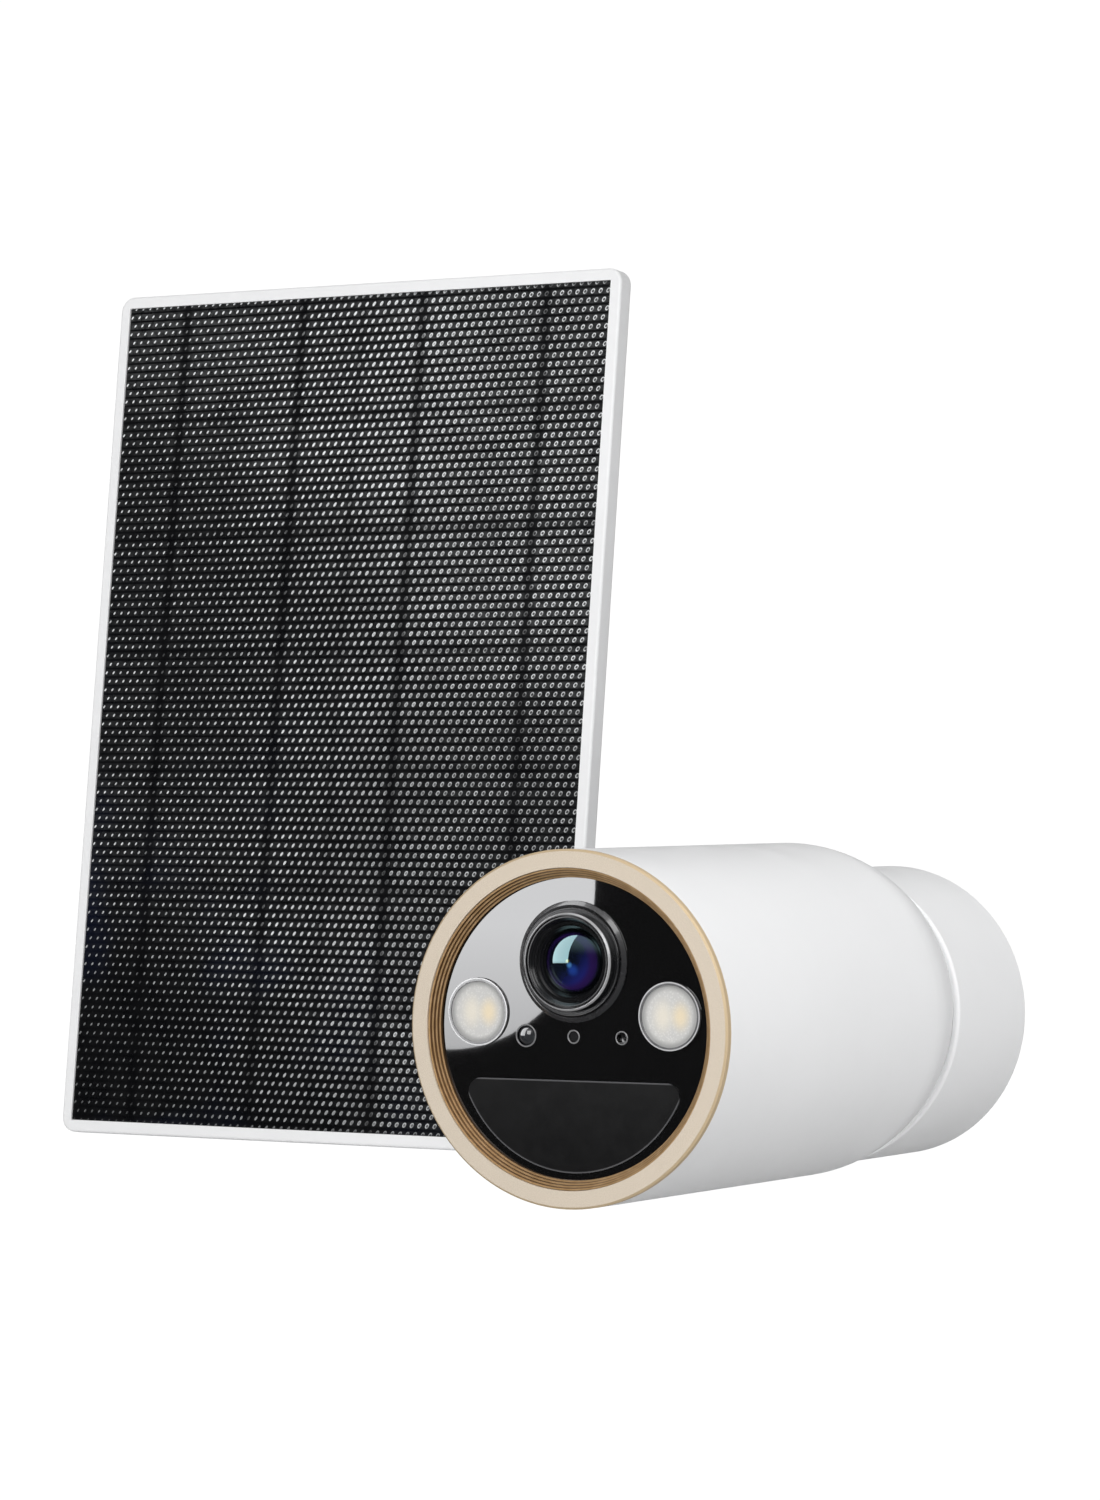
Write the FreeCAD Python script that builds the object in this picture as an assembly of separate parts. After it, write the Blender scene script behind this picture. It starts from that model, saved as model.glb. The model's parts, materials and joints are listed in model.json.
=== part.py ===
"""Solar-powered security camera: a bullet camera on a magnetic wall base, with a solar panel
on a two-axis bracket.

Millimetres.  +Z is up, the wall is the plane y = 0 and both units hang in front of it, towards -Y.
The origin is the centre of the camera base's wall face.  The camera looks along -Y.
Distances named *_S or s run backwards from the camera's front face, along its axis.
"""
import FreeCAD
import Part
import math
import os

V = FreeCAD.Vector
X_DIR = V(1, 0, 0)
Y_DIR = V(0, 1, 0)
Z_DIR = V(0, 0, 1)

# Camera barrel
BARREL_R = 33.0
BARREL_WALL = 2.4
FRONT_Y = -140.0
BALL_Y = -50.0
AXIS_Z = 2.0
BALL_S = BALL_Y - FRONT_Y
INNER_R = BARREL_R - BARREL_WALL

# Camera face
GOLD_R_IN = 29.6
GOLD_EDGE = 1.6
SPIGOT_R = 31.4
STEP_COUNT = 4
STEP_TOP_S = 0.4
WINDOW_R_SEEN = 27.75
WINDOW_R = 28.9
WINDOW_S = 2.7
WINDOW_BACK_S = 5.0
LENS_Z = 12.3
LENS_R = 10.1
SPOT_X = 20.0
SPOT_Z = 2.7
SPOT_R = 6.3
SMALL_Z = -1.5
SMALL_PITCH = 10.0
PIR_TOP_Z = -9.5
PIR_ARC_Z = -2.0
PIR_ARC_R = 24.5
PIR_CORNER_R = 2.6

# Front chassis and boards
CHASSIS_R = 30.3
PLATE_S = 6.6
PLATE_BACK_S = 8.6
CHASSIS_END_S = 20.0
FRONT_BOARD_S = 13.0
SENSOR_BOARD_S = 20.5
BOSS_RADIUS = 27.5
BOSS_ANGLES = (90, 225, 315)

# Battery and boards in the barrel
CELL_R = 10.5
CELL_LENGTH = 70.0
CELL_X = 11.0
CELL_Z = -4.0
CELL_S = 23.2
MAIN_BOARD_Z = 9.0

# Port bay under the barrel
BAY_HALF_WIDTH = 9.0
BAY_S0 = 40.0
BAY_S1 = 74.0
BAY_CORNER = 3.0
BAY_CEILING_Z = -24.2
TRAY_WALL = 1.2
PORT_BOARD_Z = -21.2
USB_S = 49.0
RESET_S = 58.0
CARD_S = 66.0
POWER_S = 31.0
SPEAKER_S = 83.0

# Magnetic wall base
BASE_R = 29.6
BASE_WALL = 2.0
CUP_GAP = 0.3
CUP_WALL = 2.6
SEAT_R_IN = 33.15
SEAT_R_OUT = 34.4
SEAT_FROM_DEG = 24.0
SEAT_TO_DEG = 48.0
RIM_Y = -32.6
RIM_SLANT_DEG = 6.6
MAGNET_R = 15.2
PLATE_THICK = 3.0
PLATE_BOLT_PCD = 40.0
WALL_HOLE_R = 2.2

# Solar panel
PANEL_W = 128.4
PANEL_H = 180.2
PANEL_BEZEL = 2.5
PANEL_EDGE = 4.6
PANEL_CORNER_R = 3.2
SHEET_RECESS = 0.3
CELL_COLUMNS = 2
CELL_ROWS = 7
PANEL_LEAN_DEG = 6.7
PANEL_YAW_DEG = -4.4

# Panel bracket
BRACKET_X = -103.4
BRACKET_Z = 60.0
BRACKET_R = 24.0
BRACKET_PLATE = 5.0
BRACKET_BOLT_PCD = 37.0
SWIVEL_Y = -17.0
TILT_Y = -31.0
FACE_TO_TILT = 17.0
PIN_R = 2.5
PIN_CLEARANCE = 0.05
KNUCKLE_R = 6.0
EAR_GAP = 9.0
EAR_THICK = 4.0

parts = {}


def disc(radius, s0, s1, x=0.0, z=0.0):
    """A round solid along the camera's axis, x and z being measured from that axis."""
    return Part.makeCylinder(radius, s1 - s0, V(x, FRONT_Y + s0, AXIS_Z + z), Y_DIR)


def tube(r_out, r_in, s0, s1, x=0.0, z=0.0):
    return disc(r_out, s0, s1, x, z).cut(disc(r_in, s0, s1, x, z))


def block(x0, x1, s0, s1, z0, z1):
    """A box in the camera, x and z being measured from its axis."""
    return Part.makeBox(x1 - x0, s1 - s0, z1 - z0, V(x0, FRONT_Y + s0, AXIS_Z + z0))


def post(radius, z0, z1, s, x=0.0):
    """An upright round solid in the camera."""
    return Part.makeCylinder(radius, z1 - z0, V(x, FRONT_Y + s, AXIS_Z + z0), Z_DIR)


def ball(radius):
    return Part.makeSphere(radius, V(0, BALL_Y, AXIS_Z))


def fused(shapes):
    whole = shapes[0]
    for shape in shapes[1:]:
        whole = whole.fuse(shape)
    return whole.removeSplitter()


def round_edges(shape, radius, direction):
    """Rounds the straight edges that run along a direction."""
    chosen = []
    for edge in shape.Edges:
        if edge.Curve.TypeId != "Part::GeomLine":
            continue
        if abs(abs(edge.Curve.Direction.dot(direction)) - 1.0) < 1e-6:
            chosen.append(edge)
    return shape.makeFillet(radius, chosen)


def soften(shape, radius, wanted):
    """Rounds the edges whose centre of mass passes the given test."""
    chosen = [edge for edge in shape.Edges if wanted(edge)]
    return shape.makeFillet(radius, chosen)


def turned(profile, x=0.0, z=0.0):
    """Turns a closed outline of (radius, s) points about a line along the camera's axis."""
    points = [V(x + r, FRONT_Y + s, AXIS_Z + z) for r, s in profile]
    wire = Part.makePolygon(points + [points[0]])
    return Part.Face(wire).revolve(V(x, FRONT_Y, AXIS_Z + z), Y_DIR, 360)


def half_moon(inset, s0, s1):
    """The motion sensor's window: flat on top, round below, with rounded corners."""
    round_part = disc(PIR_ARC_R - inset, s0, s1, 0, PIR_ARC_Z)
    lower = block(-40, 40, s0, s1, -40, PIR_TOP_Z - inset)
    return round_edges(round_part.common(lower), PIR_CORNER_R - inset, Y_DIR)


def rounded_bay(inset, z0, z1):
    """An upright prism with the port bay's outline."""
    prism = block(
        -BAY_HALF_WIDTH + inset, BAY_HALF_WIDTH - inset, BAY_S0 + inset, BAY_S1 - inset, z0, z1
    )
    return round_edges(prism, BAY_CORNER - inset, Z_DIR)


def boss_places():
    for angle in BOSS_ANGLES:
        turn = math.radians(angle)
        yield BOSS_RADIUS * math.cos(turn), BOSS_RADIUS * math.sin(turn)


# ---------------------------------------------------------------- camera housing
def make_barrel():
    """The one-piece housing: a straight tube that ends in a half ball."""
    outer = disc(BARREL_R, GOLD_EDGE, BALL_S).fuse(ball(BARREL_R))
    inner = disc(INNER_R, GOLD_EDGE, BALL_S).fuse(ball(INNER_R))
    spigot_seat = disc(SPIGOT_R + 0.1, GOLD_EDGE, WINDOW_BACK_S)
    shell = outer.cut(inner).cut(spigot_seat)
    for x, z in boss_places():
        boss = disc(3.3, CHASSIS_END_S + 0.1, CHASSIS_END_S + 12, x, z)
        pilot = disc(1.0, CHASSIS_END_S + 0.1, CHASSIS_END_S + 10, x, z)
        shell = shell.fuse(boss.common(disc(INNER_R + 0.5, 0, BALL_S))).cut(pilot)
    shell = shell.cut(rounded_bay(0, -40, BAY_CEILING_Z))
    shell = shell.cut(post(3.6, -40, -24, POWER_S))
    sound_hole = post(0.7, -40, -24, SPEAKER_S)
    shell = shell.cut(sound_hole)
    for angle in range(0, 360, 60):
        turn = math.radians(angle)
        shell = shell.cut(post(0.7, -40, -24, SPEAKER_S + 3 * math.sin(turn), 3 * math.cos(turn)))
    parts["barrel_housing"] = shell.removeSplitter()

    parts["antenna"] = tube(INNER_R, INNER_R - 0.4, 40, 70).common(block(-7, 7, 40, 70, 20, 40))


def make_face():
    """The rings and the black window at the front."""
    face_plate = tube(BARREL_R, GOLD_R_IN, 0, GOLD_EDGE)
    chamfered = face_plate.makeChamfer(
        0.4, [e for e in face_plate.Edges if e.BoundBox.YMax < FRONT_Y + 0.1 and e.Length > 200]
    )
    spigot = tube(SPIGOT_R, GOLD_R_IN, GOLD_EDGE, WINDOW_BACK_S)
    parts["front_ring"] = fused([chamfered, spigot])

    step_r = (GOLD_R_IN - 0.05 - WINDOW_R_SEEN) / STEP_COUNT
    step_s = (WINDOW_S - STEP_TOP_S) / STEP_COUNT
    outline = [(GOLD_R_IN - 0.05, STEP_TOP_S)]
    for step in range(STEP_COUNT):
        radius = GOLD_R_IN - 0.05 - (step + 1) * step_r
        outline.append((radius, STEP_TOP_S + step * step_s))
        outline.append((radius, STEP_TOP_S + (step + 1) * step_s))
    outline.append((WINDOW_R + 0.05, WINDOW_S))
    outline.append((WINDOW_R + 0.05, WINDOW_BACK_S))
    outline.append((GOLD_R_IN - 0.05, WINDOW_BACK_S))
    parts["stepped_ring"] = turned(outline)

    window = disc(WINDOW_R, WINDOW_S, WINDOW_BACK_S)
    window = window.cut(disc(LENS_R + 0.05, 0, 10, 0, LENS_Z))
    for side in (-1, 1):
        window = window.cut(disc(SPOT_R + 0.05, 0, 10, side * SPOT_X, SPOT_Z))
    window = window.cut(disc(1.85, 0, 10, -SMALL_PITCH, SMALL_Z))
    window = window.cut(disc(1.0, 0, 10, 0, SMALL_Z))
    window = window.cut(disc(1.0, 0, 10, SMALL_PITCH, SMALL_Z))
    parts["front_window"] = window.cut(half_moon(-0.08, 0, 10))
    parts["pir_window"] = half_moon(0, WINDOW_S - 0.3, WINDOW_BACK_S)


def make_chassis():
    """The carrier behind the window, with its seal and screws."""
    rim = tube(CHASSIS_R, 28.0, WINDOW_BACK_S, CHASSIS_END_S)
    plate = disc(CHASSIS_R, PLATE_S, PLATE_BACK_S)
    flange = tube(CHASSIS_R, 24.2, CHASSIS_END_S - 2, CHASSIS_END_S)
    board_posts = [disc(1.6, PLATE_BACK_S, FRONT_BOARD_S, side * 20.5, -6) for side in (-1, 1)]
    body = fused([rim, plate, flange] + board_posts)
    body = body.cut(tube(CHASSIS_R + 1, 28.9, 11.6, 13.4))
    body = body.cut(disc(LENS_R + 0.05, 0, 10, 0, LENS_Z))
    for side in (-1, 1):
        body = body.cut(disc(SPOT_R - 0.7, 0, 10, side * SPOT_X, SPOT_Z))
    body = body.cut(half_moon(1.5, 0, 10))
    for index in (-1, 0, 1):
        body = body.cut(disc(2.3, 0, 10, index * SMALL_PITCH, SMALL_Z))
    for x, z in boss_places():
        body = body.cut(disc(1.35, 17, 21, x, z)).cut(disc(2.3, CHASSIS_END_S - 4, CHASSIS_END_S - 2, x, z))
    parts["front_chassis"] = body

    ring = Part.makeTorus(29.72, 0.8, V(0, FRONT_Y + 12.5, AXIS_Z), Y_DIR)
    parts["front_seal"] = ring

    screws = []
    for x, z in boss_places():
        head = disc(2.2, CHASSIS_END_S - 3.4, CHASSIS_END_S - 2, x, z)
        shank = disc(1.0, CHASSIS_END_S - 2, CHASSIS_END_S + 8, x, z)
        slot = block(x - 0.3, x + 0.3, CHASSIS_END_S - 3.4, CHASSIS_END_S - 2.8, z - 1.5, z + 1.5)
        screws.append(head.fuse(shank).cut(slot))
    parts["chassis_screws"] = Part.makeCompound(screws)


def make_lens():
    cone = [(7.4, 9.0), (7.4, 1.3), (8.05, 0.25), (8.3, 0.25)]
    bevel = [(8.3, 0.7), (8.55, 0.7), (8.55, 0), (8.75, 0), (9.1, 0.45)]
    flange = [(9.1, 1.5), (9.9, 1.5), (LENS_R, 1.7), (LENS_R, 9.0)]
    parts["lens_hood"] = turned(cone + bevel + flange, 0, LENS_Z)
    ring = [(LENS_R + 0.02, 2.1), (LENS_R + 0.35, 1.9), (LENS_R + 1.1, 2.4)]
    seat = [(LENS_R + 1.1, WINDOW_S), (LENS_R + 0.02, WINDOW_S)]
    parts["lens_bezel"] = turned(ring + seat, 0, LENS_Z)

    bore = [(6.0, 18.0), (6.0, 2.9), (6.6, 1.8), (6.95, 1.8)]
    nose = [(6.95, 1.25), (7.35, 1.25), (7.35, 18.0)]
    foot = block(-10, 10, 16, SENSOR_BOARD_S, LENS_Z - 9, LENS_Z + 9)
    foot = foot.cut(disc(6.5, 10, 18, 0, LENS_Z))
    foot = foot.cut(block(-5.5, 5.5, 18, SENSOR_BOARD_S, LENS_Z - 5, LENS_Z + 5))
    parts["lens_barrel"] = fused([turned(bore + nose, 0, LENS_Z), foot])

    curve_r = 9.0
    cap = Part.makeSphere(curve_r, V(0, FRONT_Y + 0.5 + curve_r, AXIS_Z + LENS_Z))
    parts["lens_front_element"] = cap.common(disc(5.95, 0, 7, 0, LENS_Z))
    rear_cap = Part.makeSphere(12, V(0, FRONT_Y + 10 + 12, AXIS_Z + LENS_Z))
    parts["lens_rear_element"] = rear_cap.common(disc(5.95, 9, 13.5, 0, LENS_Z))
    parts["image_sensor"] = block(-4, 4, SENSOR_BOARD_S - 1.2, SENSOR_BOARD_S, LENS_Z - 3, LENS_Z + 3)
    parts["sensor_board"] = block(-13, 13, SENSOR_BOARD_S, SENSOR_BOARD_S + 1.2, 1, 24)


def make_lights_and_sensors():
    bezels = []
    diffusers = []
    boards = []
    chips = []
    for side in (-1, 1):
        x = side * SPOT_X
        bezels.append(tube(SPOT_R, SPOT_R - 0.6, WINDOW_S - 0.5, PLATE_S, x, SPOT_Z))
        diffusers.append(disc(SPOT_R - 0.6, WINDOW_S - 0.2, WINDOW_S + 1.6, x, SPOT_Z))
        boards.append(disc(SPOT_R, PLATE_BACK_S, PLATE_BACK_S + 1.2, x, SPOT_Z))
        for offset in (-2.2, 2.2):
            chip = block(x + offset - 1.1, x + offset + 1.1, 7.8, PLATE_BACK_S, SPOT_Z - 1.1, SPOT_Z + 1.1)
            chips.append(chip)
    parts["spotlight_bezels"] = Part.makeCompound(bezels)
    parts["spotlight_diffusers"] = Part.makeCompound(diffusers)
    parts["spotlight_boards"] = Part.makeCompound(boards)
    parts["spotlight_leds"] = Part.makeCompound(chips)

    board = disc(23.5, FRONT_BOARD_S, FRONT_BOARD_S + 1.2).common(block(-30, 30, 0, 40, -30, 1.2))
    parts["front_board"] = board
    cans = [disc(4.1, FRONT_BOARD_S - 4, FRONT_BOARD_S, side * 9, -17) for side in (-1, 1)]
    parts["pir_sensors"] = Part.makeCompound(cans)
    dome = Part.makeSphere(2.2, V(-SMALL_PITCH, FRONT_Y + WINDOW_S + 1.7, AXIS_Z + SMALL_Z))
    head = dome.common(disc(1.8, 0, WINDOW_S + 1.0, -SMALL_PITCH, SMALL_Z))
    stem = disc(1.8, WINDOW_S + 1.0, FRONT_BOARD_S, -SMALL_PITCH, SMALL_Z)
    parts["light_sensor"] = fused([head, stem])
    parts["status_light_guide"] = disc(0.95, WINDOW_S + 0.3, FRONT_BOARD_S, 0, SMALL_Z)
    capsule = disc(2.2, WINDOW_BACK_S, FRONT_BOARD_S, SMALL_PITCH, SMALL_Z)
    parts["microphone"] = capsule.cut(disc(0.7, WINDOW_BACK_S, WINDOW_BACK_S + 3, SMALL_PITCH, SMALL_Z))


def make_inside():
    """Battery, boards, loudspeaker and antenna."""
    cells = []
    for side in (-1, 1):
        can = disc(CELL_R, CELL_S, CELL_S + CELL_LENGTH - 1.2, side * CELL_X, CELL_Z)
        tip = disc(3.2, CELL_S + CELL_LENGTH - 1.2, CELL_S + CELL_LENGTH, side * CELL_X, CELL_Z)
        cells.append(can.fuse(tip))
    parts["battery_cells"] = Part.makeCompound(cells)

    end_s = CELL_S + CELL_LENGTH
    cradle = block(-22, 22, CELL_S - 1.2, end_s + 1.2, -16, -3)
    for side in (-1, 1):
        cradle = cradle.cut(disc(CELL_R, CELL_S, end_s, side * CELL_X, CELL_Z))
        cradle = cradle.cut(block(side * CELL_X - 8, side * CELL_X + 8, CELL_S, end_s, CELL_Z, 0))
    parts["battery_cradle"] = cradle
    parts["main_board"] = block(-24, 24, 26, 88, MAIN_BOARD_Z, MAIN_BOARD_Z + 1.2)
    shield = block(-11, 11, 38, 62, MAIN_BOARD_Z + 1.2, MAIN_BOARD_Z + 3.8)
    parts["processor_shield"] = round_edges(shield, 1.0, Z_DIR)

    basket = post(7.0, -28.0, -24.6, SPEAKER_S).fuse(post(4.5, -24.6, -22.8, SPEAKER_S))
    cone_space = Part.makeCone(5.8, 2.0, 2.2, V(0, FRONT_Y + SPEAKER_S, AXIS_Z - 28.0), Z_DIR)
    parts["speaker"] = basket.cut(cone_space)
    parts["speaker_mesh"] = post(6.6, -28.3, -28.0, SPEAKER_S)


def make_port_bay():
    """The bay under the barrel with the charging socket, the card slot and the reset button."""
    outer = block(
        -BAY_HALF_WIDTH - TRAY_WALL,
        BAY_HALF_WIDTH + TRAY_WALL,
        BAY_S0 - TRAY_WALL,
        BAY_S1 + TRAY_WALL,
        -40,
        BAY_CEILING_Z + TRAY_WALL,
    )
    tray = outer.common(disc(INNER_R, 0, BALL_S)).cut(rounded_bay(0, -50, BAY_CEILING_Z))
    usb_hull = round_edges(block(-4.47, 4.47, USB_S - 1.6, USB_S + 1.6, -29.0, PORT_BOARD_Z), 1.5, Z_DIR)
    card_hull = block(-7, 7, CARD_S - 1.5, CARD_S + 1.5, -27.4, PORT_BOARD_Z)
    tray = tray.cut(usb_hull).cut(card_hull).cut(post(1.6, -30, -20, RESET_S))
    parts["port_tray"] = tray

    mouth = round_edges(block(-4.17, 4.17, USB_S - 1.3, USB_S + 1.3, -29.0, -22.6), 1.25, Z_DIR)
    tongue = block(-3.35, 3.35, USB_S - 0.35, USB_S + 0.35, -28.0, -22.6)
    parts["usb_port"] = usb_hull.cut(mouth).fuse(tongue)
    parts["card_slot"] = card_hull.cut(block(-5.6, 5.6, CARD_S - 0.5, CARD_S + 0.5, -27.4, -22.6))
    parts["port_board"] = block(-9, 9, 42, 72, PORT_BOARD_Z, PORT_BOARD_Z + 1.2)

    skin = tube(BARREL_R, BARREL_R - 2.0, BAY_S0, BAY_S1).common(rounded_bay(0.15, -40, -20))
    lip = rounded_bay(1.6, -31.6, -28.4).cut(rounded_bay(2.6, -31.6, -28.4))
    lip = lip.common(disc(BARREL_R - 1.0, BAY_S0, BAY_S1))
    lip = lip.cut(block(-20, -5.5, 0, 90, -40, 0))
    parts["port_cover"] = fused([skin, lip])

    reset_pin = post(1.4, -26.4, -22.9, RESET_S).fuse(post(2.2, -22.9, -22.3, RESET_S))
    parts["reset_button"] = reset_pin.removeSplitter()
    cap = post(3.5, -36, -29.4, POWER_S).common(disc(BARREL_R - 0.1, 0, BALL_S))
    flange = post(4.5, -30.1, -29.4, POWER_S)
    parts["power_button"] = fused([cap, flange])


# ---------------------------------------------------------------- magnetic wall base
def band(r_out, r_in):
    """A ring of a hollow ball, between two angles from the base's axis."""
    shell = ball(r_out).cut(ball(r_in))
    near = SEAT_R_OUT * math.cos(math.radians(SEAT_FROM_DEG))
    far = SEAT_R_OUT * math.cos(math.radians(SEAT_TO_DEG))
    slab = Part.makeBox(100, near - far, 100, V(-50, BALL_Y + far, AXIS_Z - 50))
    return shell.common(slab)


def make_base():
    """The puck on the wall, whose cup holds the camera's round back."""
    puck = Part.makeCylinder(BASE_R, 45, V(0, -45, 0), Y_DIR)
    above_rim = Part.makeBox(100, 40, 120, V(-50, RIM_Y - 40, -60))
    above_rim.rotate(V(0, RIM_Y, 0), X_DIR, -RIM_SLANT_DEG)
    puck = puck.cut(above_rim)
    puck = soften(puck, 0.7, lambda e: e.BoundBox.YMax < -20 and e.Length > 150)
    puck = soften(puck, 0.5, lambda e: e.BoundBox.YMin > -0.1 and e.Length > 150)
    hollow = Part.makeCylinder(BASE_R - BASE_WALL, 45, V(0, -45, 0), Y_DIR)
    cup_r = BARREL_R + CUP_GAP
    hollow = hollow.cut(ball(cup_r + CUP_WALL))
    shell = puck.cut(ball(cup_r)).cut(hollow)
    pocket = Part.makeCylinder(MAGNET_R + 2.0, 16, V(0, -21.6, 0), Y_DIR)
    pocket = pocket.cut(Part.makeCylinder(MAGNET_R, 16, V(0, -21.6, 0), Y_DIR)).cut(ball(cup_r))
    shell = fused([shell, pocket]).cut(band(SEAT_R_OUT + 0.05, SEAT_R_IN))
    notches = []
    for angle in (0, 120, 240):
        notch = Part.makeBox(9, 2.0, 3, V(-4.5, -3.0, 25.8))
        notch.rotate(V(0, 0, 0), Y_DIR, angle)
        notches.append(notch)
        shell = shell.cut(notch)
    lock_hole = Part.makeCylinder(1.25, 14, V(0, -1.6, -35), Z_DIR)
    parts["base_shell"] = shell.cut(lock_hole)

    plate_r = BASE_R - BASE_WALL - 0.1
    plate = Part.makeCylinder(plate_r, PLATE_THICK, V(0, -PLATE_THICK, 0), Y_DIR)
    for notch in notches:
        lug = notch.common(Part.makeCylinder(plate_r + 0.9, 4, V(0, -4, 0), Y_DIR))
        plate = plate.fuse(lug)
    for index in range(3):
        turn = math.radians(90 + 120 * index)
        x = PLATE_BOLT_PCD / 2 * math.cos(turn)
        z = PLATE_BOLT_PCD / 2 * math.sin(turn)
        plate = plate.cut(Part.makeCylinder(WALL_HOLE_R, 10, V(x, -5, z), Y_DIR))
    parts["base_plate"] = plate.removeSplitter().cut(lock_hole)
    screw = Part.makeCylinder(1.2, 7.0, V(0, -1.6, -BASE_R + 0.4), Z_DIR)
    parts["base_lock_screw"] = screw.cut(Part.makeBox(0.5, 4, 0.8, V(-0.25, -3.6, -BASE_R + 0.4)))

    parts["base_magnet"] = Part.makeCylinder(MAGNET_R - 0.05, 6.0, V(0, -13.6, 0), Y_DIR)
    parts["magnet_yoke"] = Part.makeCylinder(MAGNET_R - 0.05, 2.0, V(0, -7.6, 0), Y_DIR)
    parts["seat_ring"] = band(SEAT_R_OUT, SEAT_R_IN)
    dish = ball(INNER_R - 0.1).cut(ball(INNER_R - 1.7))
    parts["steel_disc"] = dish.common(Part.makeCylinder(16, 40, V(0, BALL_Y, AXIS_Z), Y_DIR))


# ---------------------------------------------------------------- solar panel
def panel_block(half_w, half_h, y0, y1, corner=0.0):
    """An upright slab in the panel's own frame: the origin is the tilt pin and the face looks along -Y."""
    slab = Part.makeBox(2 * half_w, y1 - y0, 2 * half_h, V(-half_w, y0, -half_h))
    if corner:
        slab = round_edges(slab, corner, Y_DIR)
    return slab


def hang_panel(shape):
    """Leans a panel piece back, yaws it and puts it on the bracket."""
    placed = shape.copy()
    placed.rotate(V(0, 0, 0), X_DIR, -PANEL_LEAN_DEG)
    placed.translate(V(0, TILT_Y - SWIVEL_Y, 0))
    placed.rotate(V(0, 0, 0), Z_DIR, PANEL_YAW_DEG)
    placed.translate(V(BRACKET_X, SWIVEL_Y, BRACKET_Z))
    return placed


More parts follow.
